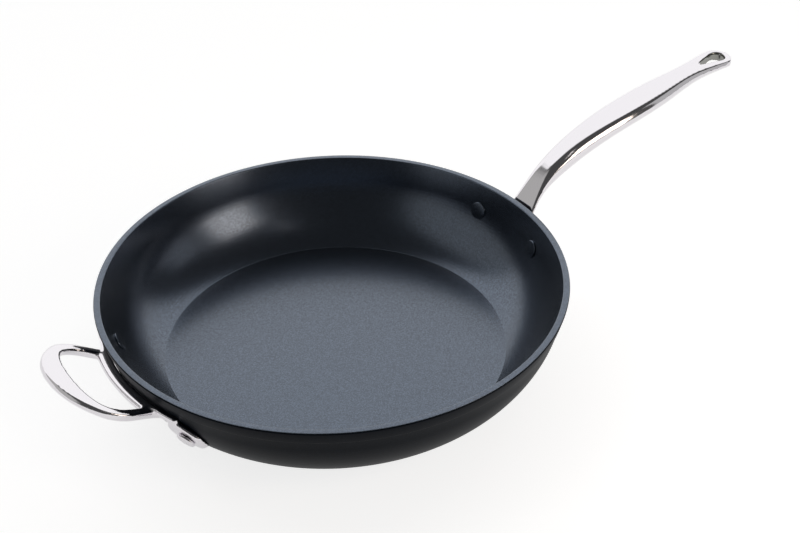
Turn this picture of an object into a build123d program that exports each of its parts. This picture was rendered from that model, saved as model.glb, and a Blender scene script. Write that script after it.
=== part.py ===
from build123d import *
import os
from math import asin, cos, degrees, radians, sin, tan

# Frying pan with a riveted long handle and a riveted helper handle opposite.
# Millimetres. The origin is the centre of the face that the pan stands on, +Z is up, and the
# long handle points along +X. Radii are taken from the pan's own axis, depths down from the rim.

# Pan
rim_radius = 151.0
pan_height = 59.0
wall_thickness = 4.0
floor_thickness = 4.8
coating_thickness = 0.3
wall_tilt = 15.0
straight_wall_depth = 17.0
bend_radius = 65.0
lower_wall_tilt = 62.0
rim_band_depth = 9.0
rim_band_step = 0.35
rim_edge_rounding = 0.8
foot_rounding = 5.0

# Magnetic steel disc set into the underside
base_disc_radius = 92.0
base_disc_thickness = 1.2

# Rivets
rivet_head_radius = 6.0
rivet_head_height = 2.0
rivet_head_rounding = 1.2
rivet_shank_radius = 3.0
inner_head_height = 0.9
inner_head_rounding = 0.4
hole_clearance = 0.1
seat_gap = 0.2

# Longer than any piece is high, for cuts that go right through
cut_through = 300.0

# Long handle
main_rivet_angle = 12.0
main_rivet_depth = 19.5
main_flange_radius = 10.5
flange_thickness = 3.2
handle_reach = 188.2
# Section of the grip, as shares of its depth or half width: how far the sides swell out, how far
# below the top face they are widest, and how wide the underside is
swell_share = 0.25
swell_drop_share = 0.45
keel_share = 0.66
keel_rise = 0.4
tip_radius = 11.4
# Each station of the neck: distance beyond the rim, top face above the rim, depth, half width
neck_stations = [
    (-8.0, -21.5, 9.0, 11.6),
    (-1.0, -9.5, 8.5, 10.2),
    (8.0, 3.5, 10.0, 7.4),
    (21.0, 19.6, 15.0, 5.0),
    (34.0, 28.2, 16.2, 5.5),
    (55.0, 36.8, 15.4, 7.1),
]
# Each station of the grip: distance back from the tip, then as above
grip_stations = [
    (92.0, 46.7, 13.4, 9.4),
    (62.0, 52.2, 12.4, 8.3),
    (38.0, 55.8, 9.6, 6.9),
    (20.0, 57.4, 7.5, 8.9),
    (8.7, 57.8, 6.6, 10.1),
    (-1.0, 58.0, 6.4, 10.4),
]
hang_hole_radius = 6.0
hang_hole_point_radius = 1.6
hang_hole_length = 22.6
hang_hole_margin = 4.2

# Helper handle
helper_rivet_angle = 21.5
helper_rivet_depth = 29.0
helper_ear_radius = 11.0
bridge_depth = 17.0
bridge_height = 5.5
bridge_bar_thickness = 5.0
bridge_bar_overlap = 0.6
bridge_bar_rounding = 2.0
bridge_bar_length = 64.0
loop_top_depth = 13.3
loop_slope = 28.8
loop_thickness = 5.2
loop_edge_rounding = 0.6
# Outlines on the loop's top face: distance out from the rim's radius, half width
loop_outline = [(-15, 35.5), (-3, 37), (6, 39.3), (15, 40.7), (25, 38.7), (33, 32.7), (41.2, 22), (46.3, 0)]
finger_outline = [(-17, 28.5), (0, 31), (9, 33.2), (16, 33.7), (23, 31.3), (28, 24), (31.6, 0)]


def wall_tilt_at(depth):
    """Tilt of the outer wall, in degrees from upright, at a depth below the rim."""
    below_centre = depth - bend_centre_depth
    if depth <= straight_wall_depth:
        return wall_tilt
    return min(degrees(asin(min(below_centre / bend_radius, 1.0))), lower_wall_tilt)


def outer_radius_at(depth):
    """Radius of the outer wall at a depth on the straight wall or the bend."""
    if depth <= straight_wall_depth:
        return rim_radius - tan(radians(wall_tilt)) * depth
    return bend_centre_radius + bend_radius * cos(radians(wall_tilt_at(depth)))


def wall_point(inset, tilt):
    """Point of the bend, at an inset into the wall, where the wall has this tilt."""
    reach = bend_radius - inset
    return (
        bend_centre_radius + reach * cos(radians(tilt)),
        pan_height - bend_centre_depth - reach * sin(radians(tilt)),
    )


def wall_path(inset, top, foot):
    """Draws the wall at an inset, from the height top to the height foot, and returns its ends."""
    bend_start = wall_point(inset, wall_tilt)
    bend_middle = wall_point(inset, (wall_tilt + lower_wall_tilt) / 2)
    bend_end = wall_point(inset, lower_wall_tilt)
    top_radius = bend_start[0] + tan(radians(wall_tilt)) * (top - bend_start[1])
    foot_radius = bend_end[0] - tan(radians(lower_wall_tilt)) * (bend_end[1] - foot)
    Line((top_radius, top), bend_start)
    ThreePointArc(bend_start, bend_middle, bend_end)
    Line(bend_end, (foot_radius, foot))
    return (top_radius, top), (foot_radius, foot)


def rivet_plane(side, angle, depth):
    """Plane on the outer wall at a rivet, facing outwards; side is 1 at +X and -1 at -X."""
    tilt = radians(wall_tilt_at(depth))
    turn = radians(angle)
    radius = outer_radius_at(depth)
    along = side * cos(turn)
    across = sin(turn)
    return Plane(
        origin=(radius * along, radius * across, pan_height - depth),
        x_dir=(-across, along, 0),
        z_dir=(cos(tilt) * along, cos(tilt) * across, -sin(tilt)),
    )


def mirrored_outline(half_outline):
    """Points of a symmetric outline, from its half that ends on the line of symmetry."""
    return half_outline + [(out, -half) for out, half in half_outline[-2::-1]]


bend_start_radius = rim_radius - tan(radians(wall_tilt)) * straight_wall_depth
bend_centre_radius = bend_start_radius - bend_radius * cos(radians(wall_tilt))
bend_centre_depth = straight_wall_depth - bend_radius * sin(radians(wall_tilt))
body_wall = wall_thickness - coating_thickness
body_floor = floor_thickness - coating_thickness

rivets = {
    "main_rivet_left": (1, main_rivet_angle, main_rivet_depth),
    "main_rivet_right": (1, -main_rivet_angle, main_rivet_depth),
    "helper_rivet_left": (-1, helper_rivet_angle, helper_rivet_depth),
    "helper_rivet_right": (-1, -helper_rivet_angle, helper_rivet_depth),
}
rivet_planes = {name: rivet_plane(*place) for name, place in rivets.items()}
main_planes = [rivet_planes["main_rivet_left"], rivet_planes["main_rivet_right"]]
helper_planes = [rivet_planes["helper_rivet_left"], rivet_planes["helper_rivet_right"]]


# Pan body: one thick wall turned down from a flat floor, with a slightly proud band at the rim
with BuildPart() as pan_body:
    with BuildSketch(Plane.XZ):
        with BuildLine():
            outer_top, outer_foot = wall_path(0, pan_height, 0)
            Line(outer_foot, (0, 0))
            Line((0, 0), (0, body_floor))
            inner_top, inner_foot = wall_path(body_wall, pan_height, body_floor)
            Line((0, body_floor), inner_foot)
            Line(inner_top, outer_top)
        make_face()
        with BuildLine():
            band_foot_height = pan_height - rim_band_depth
            band_foot_radius = outer_radius_at(rim_band_depth)
            Polyline(
                (inner_top[0] + wall_thickness / 2, pan_height),
                (rim_radius + rim_band_step, pan_height),
                (band_foot_radius + rim_band_step, band_foot_height),
                (band_foot_radius - wall_thickness / 2, band_foot_height),
                close=True,
            )
        make_face()
    revolve(axis=Axis.Z)
    foot_edge = pan_body.edges().filter_by(GeomType.CIRCLE).group_by(Axis.Z)[0].sort_by(SortBy.RADIUS)[-1]
    fillet(foot_edge, foot_rounding)
    rim_edge = pan_body.edges().filter_by(GeomType.CIRCLE).group_by(Axis.Z)[-1].sort_by(SortBy.RADIUS)[-1]
    fillet(rim_edge, rim_edge_rounding)
    with BuildSketch(Plane.XY):
        Circle(base_disc_radius)
    extrude(amount=base_disc_thickness, mode=Mode.SUBTRACT)
    with BuildSketch(*rivet_planes.values()):
        Circle(rivet_shank_radius + hole_clearance)
    extrude(amount=-2 * wall_thickness, mode=Mode.SUBTRACT)

# Ceramic non-stick coating over the floor and the inside of the wall
with BuildPart() as nonstick_coating:
    with BuildSketch(Plane.XZ):
        with BuildLine():
            coat_outer_top, coat_outer_foot = wall_path(body_wall, pan_height, body_floor)
            Line(coat_outer_foot, (0, body_floor))
            Line((0, body_floor), (0, floor_thickness))
            coat_inner_top, coat_inner_foot = wall_path(wall_thickness, pan_height, floor_thickness)
            Line((0, floor_thickness), coat_inner_foot)
            Line(coat_inner_top, coat_outer_top)
        make_face()
    revolve(axis=Axis.Z)
    with BuildSketch(*rivet_planes.values()):
        Circle(rivet_shank_radius + hole_clearance)
    extrude(amount=-2 * wall_thickness, mode=Mode.SUBTRACT)

# Steel disc pressed flush into the underside, so that the pan works on an induction hob
with BuildPart() as base_disc:
    with BuildSketch(Plane.XY):
        Circle(base_disc_radius)
    extrude(amount=base_disc_thickness)

# The space that the pan takes up, with the seat gap round it: both handles are cut back to it
with BuildPart() as pan_space:
    with BuildSketch(Plane.XZ):
        with BuildLine():
            space_top, space_foot = wall_path(-seat_gap, pan_height + seat_gap, -seat_gap)
            Polyline(space_foot, (0, -seat_gap), (0, pan_height + seat_gap), space_top)
        make_face()
    revolve(axis=Axis.Z)
    with BuildSketch(Plane.XY.offset(pan_height - rim_band_depth - seat_gap)):
        Circle(rim_radius + rim_band_step + seat_gap)
    extrude(amount=rim_band_depth + 2 * seat_gap)

# A shell of the flanges' thickness round the wall, from which each flange is cut
with BuildPart() as flange_shell:
    with BuildSketch(Plane.XZ):
        with BuildLine():
            shell_in_top, shell_in_foot = wall_path(-seat_gap, pan_height, 0)
            shell_out_top, shell_out_foot = wall_path(-seat_gap - flange_thickness, pan_height, 0)
            Line(shell_in_top, shell_out_top)
            Line(shell_in_foot, shell_out_foot)
        make_face()
    revolve(axis=Axis.Z)

# Long handle: a flat top face over a rounded belly, lofted outwards from the flange
tip_x = rim_radius + handle_reach
stations = [(rim_radius + out, top, depth, half) for out, top, depth, half in neck_stations]
stations += [(tip_x - back, top, depth, half) for back, top, depth, half in grip_stations]

with BuildPart() as grip:
    for x, top, depth, half in stations:
        side = half + swell_share * depth
        with BuildSketch(Plane.YZ.offset(x)):
            with BuildLine():
                top_z = pan_height + top
                side_z = top_z - swell_drop_share * depth
                keel_half = keel_share * half
                keel_z = top_z - depth + keel_rise
                under_side = Spline(
                    (half, top_z),
                    (side, side_z),
                    (keel_half, keel_z),
                    (-keel_half, keel_z),
                    (-side, side_z),
                    (-half, top_z),
                )
                Line(under_side @ 1, under_side @ 0)
            make_face()
    loft()
    with BuildSketch(Plane.XY):
        with BuildLine():
            end_x = tip_x - tip_radius
            ThreePointArc((end_x, -tip_radius), (tip_x, 0), (end_x, tip_radius))
            Polyline(
                (end_x, tip_radius),
                (end_x, rim_radius),
                (0, rim_radius),
                (0, -rim_radius),
                (end_x, -rim_radius),
                (end_x, -tip_radius),
            )
        make_face()
    extrude(amount=cut_through, mode=Mode.INTERSECT)

hole_end_x = tip_x - hang_hole_margin
with BuildPart() as main_handle:
    add(flange_shell.part)
    with BuildSketch(Plane.YZ.offset(rim_radius / 2)):
        with Locations((0, pan_height - main_rivet_depth)):
            flange_span = 2 * outer_radius_at(main_rivet_depth) * sin(radians(main_rivet_angle))
            SlotCenterToCenter(flange_span, 2 * main_flange_radius)
    extrude(amount=rim_radius, mode=Mode.INTERSECT)
    add(grip.part)
    add(pan_space.part, mode=Mode.SUBTRACT)
    with BuildSketch(Plane.XY.offset(pan_height)):
        with Locations((hole_end_x - hang_hole_radius, 0)):
            Circle(hang_hole_radius)
        with Locations((hole_end_x - hang_hole_length + hang_hole_point_radius, 0)):
            Circle(hang_hole_point_radius)
        make_hull()
    extrude(amount=cut_through, mode=Mode.SUBTRACT)
    with BuildSketch(*main_planes):
        Circle(rivet_shank_radius + hole_clearance)
    extrude(amount=2 * flange_thickness, mode=Mode.SUBTRACT)

# Helper handle: a closed loop that rises outwards, on a bridge with two riveted ears
loop_plane = Plane(
    origin=(-rim_radius, 0, pan_height - loop_top_depth),
    x_dir=(-cos(radians(loop_slope)), 0, sin(radians(loop_slope))),
    z_dir=(sin(radians(loop_slope)), 0, cos(radians(loop_slope))),
)
ear_span = 2 * outer_radius_at(helper_rivet_depth) * sin(radians(helper_rivet_angle))
with BuildPart() as loop:
    with BuildSketch(loop_plane):
        with BuildLine():
            loop_edge = Spline(mirrored_outline(loop_outline))
            Line(loop_edge @ 0, loop_edge @ 1)
        make_face()
        with BuildLine(mode=Mode.PRIVATE) as opening:
            finger_edge = Spline(mirrored_outline(finger_outline))
            Line(finger_edge @ 0, finger_edge @ 1)
        make_face(opening.line, mode=Mode.SUBTRACT)
    extrude(amount=-loop_thickness)
    round_edges = loop.edges().filter_by(GeomType.BSPLINE).group_by(Axis(loop_plane.origin, loop_plane.z_dir))
    fillet(round_edges[0], 2 * loop_edge_rounding)
    fillet(round_edges[-1], loop_edge_rounding)

# Rounded bar outside the bridge, between the loop's arms
bar_tilt = wall_tilt_at(bridge_depth)
bar_inset = seat_gap + flange_thickness - bridge_bar_overlap + bridge_bar_thickness / 2
bar_radius = outer_radius_at(bridge_depth) + bar_inset / cos(radians(bar_tilt))
with BuildPart() as bar:
    with BuildSketch(Plane.XZ):
        with Locations(Location((bar_radius, pan_height - bridge_depth, 0), (0, 0, -bar_tilt))):
            RectangleRounded(bridge_bar_thickness, bridge_height, bridge_bar_rounding)
    revolve(axis=Axis.Z)
    with BuildSketch(Plane.YZ):
        with Locations((0, pan_height / 2)):
            Rectangle(bridge_bar_length, pan_height)
    extrude(amount=-cut_through, mode=Mode.INTERSECT)

with BuildPart() as helper_handle:
    add(flange_shell.part)
    with BuildSketch(Plane.YZ.offset(-rim_radius / 2)):
        with Locations((0, pan_height - bridge_depth)):
            Rectangle(ear_span, bridge_height)
        with Locations(*[(side * ear_span / 2, pan_height - helper_rivet_depth) for side in (-1, 1)]):
            Circle(helper_ear_radius)
    extrude(amount=-rim_radius, mode=Mode.INTERSECT)
    add(bar.part)
    add(loop.part)
    add(pan_space.part, mode=Mode.SUBTRACT)
    with BuildSketch(*helper_planes):
        Circle(rivet_shank_radius + hole_clearance)
    extrude(amount=2 * flange_thickness, mode=Mode.SUBTRACT)

# The hollow of the pan, with the seat gap round it: the rivets' inner heads are cut back to it
with BuildPart() as bowl_space:
    with BuildSketch(Plane.XZ):
        with BuildLine():
            bowl_top, bowl_foot = wall_path(wall_thickness + seat_gap, pan_height, floor_thickness)
            Polyline(bowl_foot, (0, floor_thickness), (0, pan_height), bowl_top)
        make_face()
    revolve(axis=Axis.Z)

# Rivets: a low domed head on the flange, a shank through the wall and a flat head inside
rivet_parts = {}
for name, plane in rivet_planes.items():
    head_seat = 2 * seat_gap + flange_thickness
    inner_seat = wall_thickness + seat_gap
    rivet_axis = Axis(plane.origin, plane.z_dir)
    with BuildPart() as rivet:
        with BuildSketch(plane):
            Circle(rivet_head_radius)
        extrude(amount=-inner_seat - inner_head_height)
        fillet(rivet.faces().sort_by(rivet_axis)[0].edges(), inner_head_rounding)
        add(bowl_space.part, mode=Mode.INTERSECT)
        with BuildSketch(plane.offset(head_seat)):
            Circle(rivet_head_radius)
        extrude(amount=rivet_head_height)
        fillet(rivet.faces().sort_by(rivet_axis)[-1].edges(), rivet_head_rounding)
        with BuildSketch(plane.offset(-inner_seat - inner_head_height / 2)):
            Circle(rivet_shank_radius)
        extrude(amount=inner_head_height / 2 + inner_seat + head_seat)
    rivet_parts[name] = rivet.part

os.makedirs("parts", exist_ok=True)
pan_body.part.label = "pan_body"
nonstick_coating.part.label = "nonstick_coating"
base_disc.part.label = "base_disc"
main_handle.part.label = "main_handle"
helper_handle.part.label = "helper_handle"
export_step(pan_body.part, "parts/pan_body.step")
export_step(nonstick_coating.part, "parts/nonstick_coating.step")
export_step(base_disc.part, "parts/base_disc.step")
export_step(main_handle.part, "parts/main_handle.step")
export_step(helper_handle.part, "parts/helper_handle.step")
for name, part in rivet_parts.items():
    part.label = name
    export_step(part, f"parts/{name}.step")
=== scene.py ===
from math import asin, cos, pi, radians, sin, tan

import bmesh
import bpy
from mathutils import Euler, Matrix, Vector


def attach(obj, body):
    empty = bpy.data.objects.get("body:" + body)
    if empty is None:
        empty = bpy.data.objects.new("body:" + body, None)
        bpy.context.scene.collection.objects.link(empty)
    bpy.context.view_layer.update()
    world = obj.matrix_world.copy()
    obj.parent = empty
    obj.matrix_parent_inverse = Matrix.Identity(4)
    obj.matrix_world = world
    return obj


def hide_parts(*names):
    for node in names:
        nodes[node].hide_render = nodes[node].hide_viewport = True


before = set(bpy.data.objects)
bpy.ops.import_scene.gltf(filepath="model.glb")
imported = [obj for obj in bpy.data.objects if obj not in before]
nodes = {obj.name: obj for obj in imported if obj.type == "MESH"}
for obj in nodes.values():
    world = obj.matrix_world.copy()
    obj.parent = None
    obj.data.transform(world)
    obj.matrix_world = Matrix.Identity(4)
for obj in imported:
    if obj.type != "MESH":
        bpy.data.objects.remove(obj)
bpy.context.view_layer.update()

# Metres, in the CAD's own frame: the pan stands on z = 0, and the long handle points along +X.
MM = 0.001

# Sizes of the turned pieces, the same as in the CAD
RIM_RADIUS = 151.0 * MM
PAN_HEIGHT = 59.0 * MM
WALL = 4.0 * MM
FLOOR = 4.8 * MM
COAT = 0.3 * MM
WALL_TILT = radians(15)
STRAIGHT_WALL = 17.0 * MM
BEND_RADIUS = 65.0 * MM
FOOT_TILT = radians(62)
BAND_FOOT = PAN_HEIGHT - 9.0 * MM
BAND_STEP = 0.35 * MM
DISC_RADIUS = 92.0 * MM
DISC_THICKNESS = 1.2 * MM
HEAD_RADIUS = 6.0 * MM
HEAD_HEIGHT = 2.0 * MM
SHANK_RADIUS = 3.0 * MM
INNER_HEAD = 0.9 * MM
FLANGE = 3.2 * MM
SEAT_GAP = 0.2 * MM

# Where the wall of the hang hole lies, along the long handle and across it; that wall is painted greyer,
# as shade
HOLE_MIDDLE = 327.0 * MM
HOLE_REACH = 12.0 * MM
HOLE_HALF_WIDTH = 6.6 * MM
# The furthest that a face of that wall points up or down, as the Z of its normal
HOLE_LEAN = 0.6

bend_centre_radius = RIM_RADIUS - tan(WALL_TILT) * STRAIGHT_WALL - BEND_RADIUS * cos(WALL_TILT)
bend_centre_height = PAN_HEIGHT - STRAIGHT_WALL + BEND_RADIUS * sin(WALL_TILT)


def linear(hex_colour):
    """Linear RGBA of an sRGB colour written as #RRGGBB."""
    channels = [int(hex_colour[i : i + 2], 16) / 255 for i in (1, 3, 5)]
    return [c / 12.92 if c <= 0.04045 else ((c + 0.055) / 1.055) ** 2.4 for c in channels] + [1.0]


def add_node(tree, kind, settings=None, inputs=None):
    """Adds a node, sets its properties, and sets or links each input that is given."""
    node = tree.nodes.new(kind)
    for name, value in (settings or {}).items():
        setattr(node, name, value)
    for name, value in (inputs or {}).items():
        if isinstance(value, bpy.types.NodeSocket):
            tree.links.new(value, node.inputs[name])
        else:
            node.inputs[name].default_value = value
    return node


def new_material(name):
    """An empty material with its output node."""
    material = bpy.data.materials.new(name)
    material.use_nodes = True
    tree = material.node_tree
    tree.nodes.clear()
    return material, tree, add_node(tree, "ShaderNodeOutputMaterial")


def flecks(tree, grain, base_hex, fleck_hex, bare_share=0.2):
    """Colour of a coat with a fleck in it. grain is the size of one fleck in metres, and
    bare_share is the share of them that keeps the base colour."""
    place = add_node(tree, "ShaderNodeTexCoord")
    cells = add_node(
        tree,
        "ShaderNodeTexVoronoi",
        {"feature": "F1"},
        {"Vector": place.outputs["Object"], "Scale": 1 / grain},
    )
    cell = add_node(tree, "ShaderNodeSeparateColor", {}, {"Color": cells.outputs["Color"]})
    share = add_node(
        tree,
        "ShaderNodeMapRange",
        {},
        {"Value": cell.outputs["Red"], "From Min": bare_share, "From Max": 1.0},
    )
    return add_node(
        tree,
        "ShaderNodeMix",
        {"data_type": "RGBA"},
        {"Factor": share.outputs["Result"], "A": linear(base_hex), "B": linear(fleck_hex)},
    )


def ceramic_coat(name):
    """Sol-gel ceramic non-stick coat with metal flake, sprayed and fired: a soft blue-grey sheen
    from the flake under a clear glaze, with a fine bright fleck. Real flakes are about 0.1 mm and
    are drawn at 0.6 mm, the smallest that shows."""
    material, tree, output = new_material(name)
    colour = flecks(tree, 0.6 * MM, "#4A5462", "#5F6B7C")
    shader = add_node(
        tree,
        "ShaderNodeBsdfPrincipled",
        {},
        {
            "Base Color": colour.outputs["Result"],
            "Metallic": 1.0,
            "Roughness": 0.27,
            "Coat Weight": 1.0,
            "Coat Roughness": 0.2,
            "Coat IOR": 1.5,
        },
    )
    tree.links.new(shader.outputs["BSDF"], output.inputs["Surface"])
    return material


def dark_outside(name):
    """High-temperature silicone paint, sprayed matt and baked: nearly black slate with a dull
    gloss and a faint grain. Real grain is under 0.1 mm and is drawn at 0.8 mm, so that it shows.
    The foot of the rim band is a paler hairline, 0.6 mm wide: a painted highlight along the band's edge."""
    material, tree, output = new_material(name)
    colour = flecks(tree, 0.8 * MM, "#0C121B", "#111822")
    # Painted highlight: a paler hairline along the foot of the rim band, where its edge catches the light
    half_line = 0.3 * MM
    place = add_node(tree, "ShaderNodeTexCoord")
    axes = add_node(tree, "ShaderNodeSeparateXYZ", {}, {"Vector": place.outputs["Object"]})
    hairline = add_node(
        tree,
        "ShaderNodeMath",
        {"operation": "COMPARE"},
        {0: axes.outputs["Z"], 1: BAND_FOOT, 2: half_line},
    )
    painted_edge_highlight = add_node(
        tree,
        "ShaderNodeMix",
        {"data_type": "RGBA"},
        {"Factor": hairline.outputs["Value"], "A": colour.outputs["Result"], "B": linear("#2E3338")},
    )
    shader = add_node(
        tree,
        "ShaderNodeBsdfPrincipled",
        {},
        {"Base Color": painted_edge_highlight.outputs["Result"], "Roughness": 0.42, "Specular IOR Level": 0.07},
    )
    tree.links.new(shader.outputs["BSDF"], output.inputs["Surface"])
    return material


def buffed_steel(name, smoothest, roughest):
    """Stainless steel, shaped, tumbled and buffed: bright, with buffing lines that cloud it
    between two roughnesses, and painted shade: a greyer wall inside the hang hole.
    Real buffing lines are under 0.1 mm apart and are drawn 1.1 mm apart, so that they show."""
    material, tree, output = new_material(name)
    line_length = 25.0 * MM
    line_spacing = 1.1111 * MM
    place = add_node(tree, "ShaderNodeTexCoord")
    stretched = add_node(
        tree,
        "ShaderNodeMapping",
        {},
        {
            "Vector": place.outputs["Object"],
            "Scale": (1 / line_length, 1 / line_spacing, 1 / line_spacing),
        },
    )
    lines = add_node(
        tree,
        "ShaderNodeTexNoise",
        {},
        {"Vector": stretched.outputs["Vector"], "Scale": 1.0, "Detail": 2.0},
    )
    rough = add_node(
        tree,
        "ShaderNodeMapRange",
        {},
        {"Value": lines.outputs["Fac"], "To Min": smoothest, "To Max": roughest},
    )
    axes = add_node(tree, "ShaderNodeSeparateXYZ", {}, {"Vector": place.outputs["Object"]})
    faces = add_node(tree, "ShaderNodeNewGeometry")
    facing = add_node(tree, "ShaderNodeSeparateXYZ", {}, {"Vector": faces.outputs["True Normal"]})
    # Mask of the hang hole's wall, where shade is painted
    hole_limits = (
        (axes.outputs["X"], HOLE_MIDDLE, HOLE_REACH),
        (axes.outputs["Y"], 0.0, HOLE_HALF_WIDTH),
        (facing.outputs["Z"], 0.0, HOLE_LEAN),
    )
    hole_shade = 1.0
    for value, middle, reach in hole_limits:
        near = add_node(tree, "ShaderNodeMath", {"operation": "COMPARE"}, {0: value, 1: middle, 2: reach})
        both = add_node(
            tree, "ShaderNodeMath", {"operation": "MULTIPLY"}, {0: near.outputs["Value"], 1: hole_shade}
        )
        hole_shade = both.outputs["Value"]
    # Painted shade: the wall inside the hang hole is drawn greyer than the buffed steel
    colour = add_node(
        tree,
        "ShaderNodeMix",
        {"data_type": "RGBA"},
        {"Factor": hole_shade, "A": linear("#F1EEF2"), "B": linear("#93938F")},
    )
    shader = add_node(
        tree,
        "ShaderNodeBsdfPrincipled",
        {},
        {
            "Base Color": colour.outputs["Result"],
            "Metallic": 1.0,
            "Roughness": rough.outputs["Result"],
        },
    )
    tree.links.new(shader.outputs["BSDF"], output.inputs["Surface"])
    return material


def turned_steel(name):
    """Magnetic stainless steel, faced on a lathe: fine circular lines stretch each highlight. The
    real lines are 0.1 mm apart and are drawn at 0.6 mm, the finest that shows."""
    material, tree, output = new_material(name)
    line_spacing = 0.6283 * MM
    wave_radians = 20  # what the wave texture turns through in one unit of its scale
    place = add_node(tree, "ShaderNodeTexCoord")
    rings = add_node(
        tree,
        "ShaderNodeTexWave",
        {"wave_type": "RINGS", "rings_direction": "Z"},
        {
            "Vector": place.outputs["Object"],
            "Scale": 2 * pi / (wave_radians * line_spacing),
            "Distortion": 0.4,
        },
    )
    bump = add_node(
        tree,
        "ShaderNodeBump",
        {},
        {"Height": rings.outputs["Fac"], "Strength": 0.15, "Distance": 0.1 * MM},
    )
    shader = add_node(
        tree,
        "ShaderNodeBsdfPrincipled",
        {},
        {
            "Base Color": linear("#C9C9C8"),
            "Metallic": 1.0,
            "Roughness": 0.32,
            "Normal": bump.outputs["Normal"],
        },
    )
    tree.links.new(shader.outputs["BSDF"], output.inputs["Surface"])
    return material


coating = ceramic_coat("ceramic_nonstick_coat")
outside = dark_outside("matt_baked_paint")
steel = buffed_steel("buffed_cast_steel", smoothest=0.05, roughest=0.13)
rivet_steel = buffed_steel("headed_rivet_steel", smoothest=0.2, roughest=0.3)
disc_steel = turned_steel("turned_base_steel")

# Handles: castings with their edges worn soft, made from the CAD meshes
GRID = 0.6 * MM
SAME_POINT = 0.005 * MM


def tumbled(name, passes):
    """Replaces a CAD casting with a copy of its mesh on an even grid, smoothed in some passes."""
    cast = bmesh.new()
    cast.from_mesh(nodes[name].data)
    bmesh.ops.remove_doubles(cast, verts=cast.verts, dist=SAME_POINT)
    blank = bpy.data.meshes.new(name + "_blank")
    cast.to_mesh(blank)
    cast.free()
    piece = bpy.data.objects.new(name + "_tumbled", blank)
    bpy.context.scene.collection.objects.link(piece)
    remesh = piece.modifiers.new("grid", "REMESH")
    remesh.mode = "VOXEL"
    remesh.voxel_size = GRID
    smooth = piece.modifiers.new("tumbling", "SMOOTH")
    smooth.factor = 0.5
    smooth.iterations = passes
    mesh = bpy.data.meshes.new_from_object(piece.evaluated_get(bpy.context.evaluated_depsgraph_get()))
    mesh.name = piece.name
    piece.modifiers.clear()
    piece.data = mesh
    mesh.materials.clear()
    mesh.materials.append(steel)
    mesh.polygons.foreach_set("use_smooth", [True] * len(mesh.polygons))
    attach(piece, "root")
    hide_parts(name)


tumbled("main_handle", passes=12)
tumbled("helper_handle", passes=24)


def turning_tree():
    """Geometry Nodes tree that rounds the corners of a profile and turns it about the Z axis.
    The profile lies in XY: X is the radius, and Y is the height, downwards."""
    tree = bpy.data.node_groups.new("turned_piece", "GeometryNodeTree")
    given_sockets = {
        "Geometry": "NodeSocketGeometry",
        "Segments": "NodeSocketInt",
        "Corner Rounding": "NodeSocketFloat",
        "Rounding Steps": "NodeSocketInt",
        "Finish": "NodeSocketMaterial",
    }
    for name, kind in given_sockets.items():
        tree.interface.new_socket(name, in_out="INPUT", socket_type=kind)
    tree.interface.new_socket("Geometry", in_out="OUTPUT", socket_type="NodeSocketGeometry")
    given = add_node(tree, "NodeGroupInput")
    profile = add_node(tree, "GeometryNodeMeshToCurve", {}, {"Mesh": given.outputs["Geometry"]})
    rounded = add_node(
        tree,
        "GeometryNodeFilletCurve",
        {"mode": "POLY"},
        {
            "Curve": profile.outputs["Curve"],
            "Count": given.outputs["Rounding Steps"],
            "Radius": given.outputs["Corner Rounding"],
            "Limit Radius": True,
        },
    )
    # The circle's radius of one metre is taken off again, so that the profile's own radius counts
    path = add_node(
        tree,
        "GeometryNodeCurvePrimitiveCircle",
        {},
        {"Resolution": given.outputs["Segments"], "Radius": 1.0},
    )
    shifted = add_node(
        tree,
        "GeometryNodeTransform",
        {},
        {"Geometry": rounded.outputs["Curve"], "Translation": (-1.0, 0.0, 0.0)},
    )
    turned = add_node(
        tree,
        "GeometryNodeCurveToMesh",
        {},
        {"Curve": path.outputs["Curve"], "Profile Curve": shifted.outputs["Geometry"]},
    )
    closed = add_node(
        tree,
        "GeometryNodeMergeByDistance",
        {},
        {"Geometry": turned.outputs["Mesh"], "Distance": 0.002 * MM},
    )
    smooth = add_node(tree, "GeometryNodeSetShadeSmooth", {}, {"Geometry": closed.outputs["Geometry"]})
    whole = add_node(tree, "GeometryNodeRealizeInstances", {}, {"Geometry": smooth.outputs["Geometry"]})
    finished = add_node(
        tree,
        "GeometryNodeSetMaterial",
        {},
        {"Geometry": whole.outputs["Geometry"], "Material": given.outputs["Finish"]},
    )
    result = add_node(tree, "NodeGroupOutput")
    tree.links.new(finished.outputs["Geometry"], result.inputs["Geometry"])
    return tree


turning = turning_tree()


def turn(name, profile, rounding, finish, segments=256, steps=5):
    """Turns a profile of (radius, height) points, from axis to axis, into a closed mesh with its
    corners rounded."""
    edges = [(i, i + 1) for i in range(len(profile) - 1)]
    blank = bpy.data.meshes.new(name + "_profile")
    blank.from_pydata([(radius, -height, 0) for radius, height in profile], edges, [])
    piece = bpy.data.objects.new(name, blank)
    bpy.context.scene.collection.objects.link(piece)
    modifier = piece.modifiers.new("turning", "NODES")
    modifier.node_group = turning
    values = {"Segments": segments, "Corner Rounding": rounding, "Rounding Steps": steps, "Finish": finish}
    for socket in turning.interface.items_tree:
        if socket.name in values:
            modifier[socket.identifier] = values[socket.name]
    mesh = bpy.data.meshes.new_from_object(piece.evaluated_get(bpy.context.evaluated_depsgraph_get()))
    mesh.name = name
    piece.modifiers.remove(modifier)
    piece.data = mesh
    return piece


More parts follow.
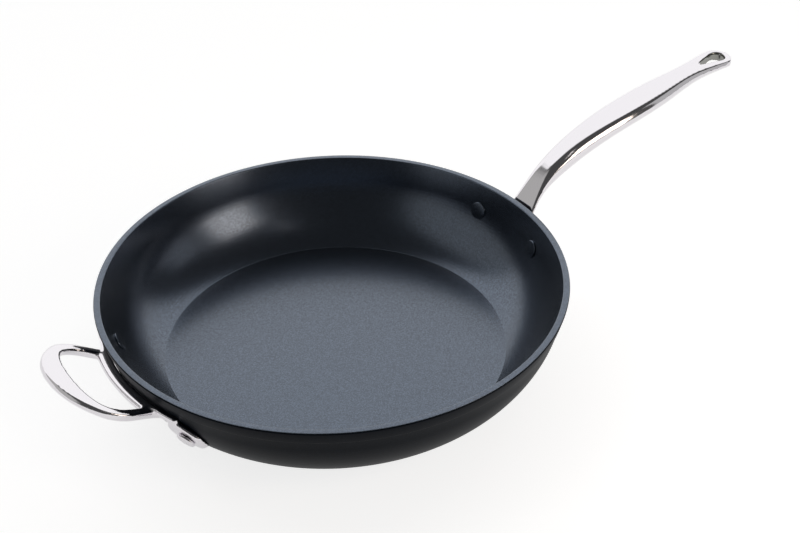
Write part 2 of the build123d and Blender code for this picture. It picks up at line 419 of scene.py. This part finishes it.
def wall(inset, top, foot, steps=24):
    """Points down the wall at an inset from its outside, between two heights."""
    reach = BEND_RADIUS - inset
    tilts = [WALL_TILT + (FOOT_TILT - WALL_TILT) * i / steps for i in range(steps + 1)]
    bend = [(bend_centre_radius + reach * cos(t), bend_centre_height - reach * sin(t)) for t in tilts]
    start, end = bend[0], bend[-1]
    rim = (start[0] + tan(WALL_TILT) * (top - start[1]), top)
    bottom = (end[0] - tan(FOOT_TILT) * (end[1] - foot), foot)
    return [rim] + bend + [bottom]


# Coating: over the floor, up the wall and over the rim, to just inside the rim's outer edge
COAT_EDGE_INSET = 0.6 * MM
COAT_ROUNDING = 1.0 * MM
# A ring of points this far inside the crease keeps the shading of the floor flat
CREASE_LEAD = 4.0 * MM
inside = wall(WALL, PAN_HEIGHT, FLOOR)
under_coat = wall(WALL - COAT, PAN_HEIGHT - COAT, FLOOR - COAT)
band_radius = RIM_RADIUS + BAND_STEP
coat_edge = band_radius - COAT_EDGE_INSET
coat_piece = turn(
    "coating_turned",
    [(0, FLOOR), (inside[-1][0] - CREASE_LEAD, FLOOR)]
    + inside[::-1]
    + [(coat_edge, PAN_HEIGHT), (coat_edge, PAN_HEIGHT - COAT)]
    + under_coat
    + [(0, FLOOR - COAT)],
    COAT_ROUNDING,
    coating,
)
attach(coat_piece, "root")
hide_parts("nonstick_coating")

# Body: the wall turned down from the floor, with the rim band a step proud of it
BODY_ROUNDING = 0.9 * MM
band_foot_radius = RIM_RADIUS - tan(WALL_TILT) * (PAN_HEIGHT - BAND_FOOT)
below_band = [point for point in wall(0, BAND_FOOT, 0) if point[1] <= BAND_FOOT]
body_piece = turn(
    "body_turned",
    [(0, FLOOR - COAT)]
    + under_coat[::-1]
    + [(band_radius, PAN_HEIGHT - COAT), (band_foot_radius + BAND_STEP, BAND_FOOT)]
    + below_band
    + [(DISC_RADIUS, 0), (DISC_RADIUS, DISC_THICKNESS), (0, DISC_THICKNESS)],
    BODY_ROUNDING,
    outside,
)
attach(body_piece, "root")
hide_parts("pan_body")

# Base disc: faced on the lathe, with shallow rings that let it grow and shrink on the hob
RING_PITCH = 14.0 * MM
RING_HALF_WIDTH = 0.6 * MM
RING_HALF_FLOOR = 0.36 * MM
RING_DEPTH = 0.3 * MM
DISC_ROUNDING = 0.15 * MM
grooves = []
ring_radius = DISC_RADIUS - RING_PITCH / 2
while ring_radius > RING_PITCH:
    grooves += [
        (ring_radius + RING_HALF_WIDTH, 0),
        (ring_radius + RING_HALF_FLOOR, RING_DEPTH),
        (ring_radius - RING_HALF_FLOOR, RING_DEPTH),
        (ring_radius - RING_HALF_WIDTH, 0),
    ]
    ring_radius -= RING_PITCH
disc_piece = turn(
    "base_disc_turned",
    [(0, DISC_THICKNESS), (DISC_RADIUS, DISC_THICKNESS), (DISC_RADIUS, 0)] + grooves + [(0, 0)],
    DISC_ROUNDING,
    disc_steel,
    steps=2,
)
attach(disc_piece, "root")
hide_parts("base_disc")

# Rivets: a soft flat head on the handle, a shank, and a thin head inside that is coated
CROWN_RADIUS = 4.5 * MM
CROWN_DROP = 0.1 * MM
SHOULDER_DROP = 0.6 * MM
RIVET_ROUNDING = 0.5 * MM
head_seat = FLANGE + 2 * SEAT_GAP
head_top = head_seat + HEAD_HEIGHT
inner_seat = -WALL - SEAT_GAP
inner_top = inner_seat - INNER_HEAD
rivet_profile = [
    (0, head_top),
    (CROWN_RADIUS, head_top - CROWN_DROP),
    (HEAD_RADIUS, head_top - SHOULDER_DROP),
    (HEAD_RADIUS, head_seat),
    (SHANK_RADIUS, head_seat),
    (SHANK_RADIUS, inner_seat),
    (HEAD_RADIUS, inner_seat),
    (HEAD_RADIUS, inner_top),
    (0, inner_top),
]
# Side of the pan (1 for the long handle), angle from the handles' line, and depth below the rim
rivet_places = {
    "main_rivet_left": (1, radians(12), 19.5 * MM),
    "main_rivet_right": (1, radians(-12), 19.5 * MM),
    "helper_rivet_left": (-1, radians(21.5), 29.0 * MM),
    "helper_rivet_right": (-1, radians(-21.5), 29.0 * MM),
}


def rivet_place(side, angle, depth):
    """Where a rivet sits on the outside of the wall, its axis pointing out of the wall."""
    tilt = asin((bend_centre_height - PAN_HEIGHT + depth) / BEND_RADIUS)
    radius = bend_centre_radius + BEND_RADIUS * cos(tilt)
    along, across = side * cos(angle), sin(angle)
    outwards = Vector((cos(tilt) * along, cos(tilt) * across, -sin(tilt)))
    turned = outwards.to_track_quat("Z", "Y").to_matrix().to_4x4()
    return Matrix.Translation((radius * along, radius * across, PAN_HEIGHT - depth)) @ turned


for name, place in rivet_places.items():
    rivet = turn(name + "_turned", rivet_profile, RIVET_ROUNDING, rivet_steel, segments=48, steps=4)
    rivet.data.materials.append(coating)
    for face in rivet.data.polygons:
        if face.center.z < -WALL / 2:
            face.material_index = 1
    rivet.data.transform(rivet_place(*place))
    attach(rivet, "root")
    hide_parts(name)

# Camera, at the photograph's place, height and lens
camera_place = Vector((-0.374254, -0.643033, 0.585663))
camera_aim = Vector((0.063669, 0.017733, 0.03))
camera_roll = radians(-1.169)
camera_data = bpy.data.cameras.new("camera")
camera_data.sensor_width = 36.0
camera_data.lens = 64.125
camera = bpy.data.objects.new("camera", camera_data)
camera.location = camera_place
level = (camera_aim - camera_place).to_track_quat("-Z", "Y")
camera.rotation_euler = (level @ Euler((0, 0, camera_roll)).to_quaternion()).to_euler()
bpy.context.scene.collection.objects.link(camera)
bpy.context.scene.camera = camera
bpy.context.scene.view_settings.view_transform = "Standard"


def towards(bearing, rise):
    """Unit vector at an angle from the long handle and a height above the floor, in degrees."""
    flat = cos(radians(rise))
    return Vector((flat * cos(radians(bearing)), flat * sin(radians(bearing)), sin(radians(rise))))


def share_near(tree, direction, middle, start, full):
    """How much of a view direction lies near another one: none at start degrees, all at full."""
    close = add_node(tree, "ShaderNodeVectorMath", {"operation": "DOT_PRODUCT"}, {0: direction, 1: middle})
    share = add_node(
        tree,
        "ShaderNodeMapRange",
        {"interpolation_type": "SMOOTHSTEP"},
        {"Value": close.outputs["Value"], "From Min": cos(radians(start)), "From Max": cos(radians(full))},
    )
    return share.outputs["Result"]


# World: a white backdrop behind the pan, in a dark room with a grey door to the left
WHITE = "#FFFFFF"
DOOR_GREY = "#AEAEAC"
DARK_ROOM = "#464646"
world = bpy.data.worlds.new("studio")
bpy.context.scene.world = world
world.use_nodes = True
sky = world.node_tree
sky.nodes.clear()
direction = add_node(sky, "ShaderNodeTexCoord").outputs["Generated"]
level_part = add_node(sky, "ShaderNodeVectorMath", {"operation": "MULTIPLY"}, {0: direction, 1: (1, 1, 0)})
heading = add_node(
    sky, "ShaderNodeVectorMath", {"operation": "NORMALIZE"}, {0: level_part.outputs["Vector"]}
)
door_share = share_near(sky, direction, towards(160, 14), start=42, full=26)
backdrop_share = share_near(sky, heading.outputs["Vector"], towards(63, 0), start=64, full=57)
ceiling_share = share_near(sky, direction, towards(0, 90), start=37, full=21)
camera_share = add_node(sky, "ShaderNodeLightPath").outputs["Is Camera Ray"]
# Each layer covers the ones before it, and the camera itself sees plain white all round
layers = (
    (door_share, DOOR_GREY),
    (backdrop_share, WHITE),
    (ceiling_share, DARK_ROOM),
    (camera_share, WHITE),
)
seen = linear(DARK_ROOM)
for share, hex_colour in layers:
    layer = add_node(
        sky,
        "ShaderNodeMix",
        {"data_type": "RGBA"},
        {"Factor": share, "A": seen, "B": linear(hex_colour)},
    )
    seen = layer.outputs["Result"]
light = add_node(sky, "ShaderNodeBackground", {}, {"Color": seen, "Strength": 1.0})
sky_output = add_node(sky, "ShaderNodeOutputWorld")
sky.links.new(light.outputs["Background"], sky_output.inputs["Surface"])

# Floor: pale paper that glows a little to the eye and in mirrors, and so keeps a faint shadow
PAPER_REACH = 4.0
PAPER_GREY = 0.55
GLOW_SEEN = 0.8
GLOW_MIRRORED = 0.58
sides = ((-1, -1), (1, -1), (1, 1), (-1, 1))
floor_mesh = bpy.data.meshes.new("floor")
floor_mesh.from_pydata([(x * PAPER_REACH, y * PAPER_REACH, 0) for x, y in sides], [], [(0, 1, 2, 3)])
floor = bpy.data.objects.new("floor", floor_mesh)
bpy.context.scene.collection.objects.link(floor)
paper, paper_tree, paper_output = new_material("white_paper")
paper_rays = add_node(paper_tree, "ShaderNodeLightPath")
camera_glow = add_node(
    paper_tree,
    "ShaderNodeMath",
    {"operation": "MULTIPLY"},
    {0: paper_rays.outputs["Is Camera Ray"], 1: GLOW_SEEN},
)
glow_strength = add_node(
    paper_tree,
    "ShaderNodeMath",
    {"operation": "MULTIPLY_ADD"},
    {0: paper_rays.outputs["Is Glossy Ray"], 1: GLOW_MIRRORED, 2: camera_glow.outputs["Value"]},
)
sheet = add_node(
    paper_tree, "ShaderNodeBsdfDiffuse", {}, {"Color": (PAPER_GREY, PAPER_GREY, PAPER_GREY, 1)}
)
glow = add_node(paper_tree, "ShaderNodeEmission", {}, {"Strength": glow_strength.outputs["Value"]})
both = add_node(
    paper_tree, "ShaderNodeAddShader", {}, {0: sheet.outputs["BSDF"], 1: glow.outputs["Emission"]}
)
paper_tree.links.new(both.outputs["Shader"], paper_output.inputs["Surface"])
floor_mesh.materials.append(paper)


def softbox(name, place, aim, width, height, watts, colour):
    """A soft rectangular lamp, which the pan reflects and the camera doesn't see."""
    lamp = bpy.data.lights.new(name, "AREA")
    lamp.shape = "RECTANGLE"
    lamp.size = width
    lamp.size_y = height
    lamp.energy = watts
    lamp.color = colour
    holder = bpy.data.objects.new(name, lamp)
    holder.location = place
    holder.visible_camera = False
    holder.rotation_euler = (Vector(aim) - Vector(place)).to_track_quat("-Z", "Y").to_euler()
    bpy.context.scene.collection.objects.link(holder)


# The strip gives the bowl its main highlight and the long handle's side the near streak
softbox(
    "strip_softbox",
    place=(0.34, -0.606, 0.4),
    aim=(-0.05, 0.0, 0.4),
    width=0.32,
    height=0.54,
    watts=1.3,
    colour=(1.0, 0.88, 0.76),
)
# The slit gives the bowl a second, faint streak
softbox(
    "slit_softbox",
    place=(0.06, -0.606, 0.88),
    aim=(0.05, 0.0, 0.3),
    width=0.05,
    height=0.3,
    watts=0.04,
    colour=(1.0, 0.95, 0.9),
)
# The side lamp gives the long handle's side the streak that runs to its tip
softbox(
    "side_softbox",
    place=(0.47, -0.19, 0.22),
    aim=(0.3, 0.0, 0.12),
    width=0.16,
    height=0.26,
    watts=0.05,
    colour=(1.0, 1.0, 1.0),
)
